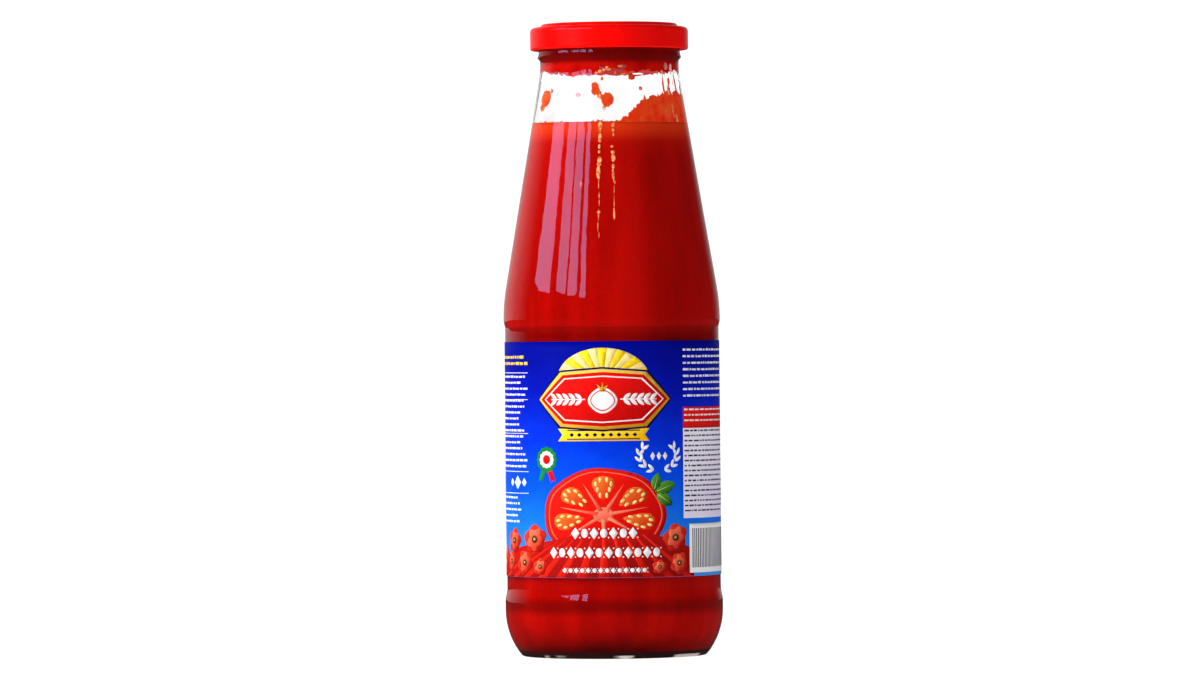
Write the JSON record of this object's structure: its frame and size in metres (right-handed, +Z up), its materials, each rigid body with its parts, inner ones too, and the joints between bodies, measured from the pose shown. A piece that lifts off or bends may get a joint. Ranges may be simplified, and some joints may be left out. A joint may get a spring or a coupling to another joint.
{
  "type": "jar of tomato passata",
  "caption": "Tall clear glass jar with a conical shoulder, filled with tomato passata, with a wrap-round paper label and a red twist-off lid.",
  "frame": {"origin": "centre of the foot, on the surface that the jar stands on", "axes": "+Z up along the jar's axis, from foot to lid; the label's front faces -Y"},
  "size_m": [0.0772, 0.0772, 0.2236],
  "materials": {
    "flint_glass": "fire-polished blown glass",
    "tomato_passata": "smooth wet sieved tomato",
    "label_paper": "coated, printed in colours",
    "red_enamelled_tinplate": "gloss stoved enamel",
    "sealing_compound": "soft, matt"
  },
  "bodies": {
    "root": {"glass_jar": "flint_glass", "passata": "tomato_passata", "paper_label": "label_paper", "lid": "red_enamelled_tinplate", "sealing_ring": "sealing_compound"}
  },
  "joints": []
}
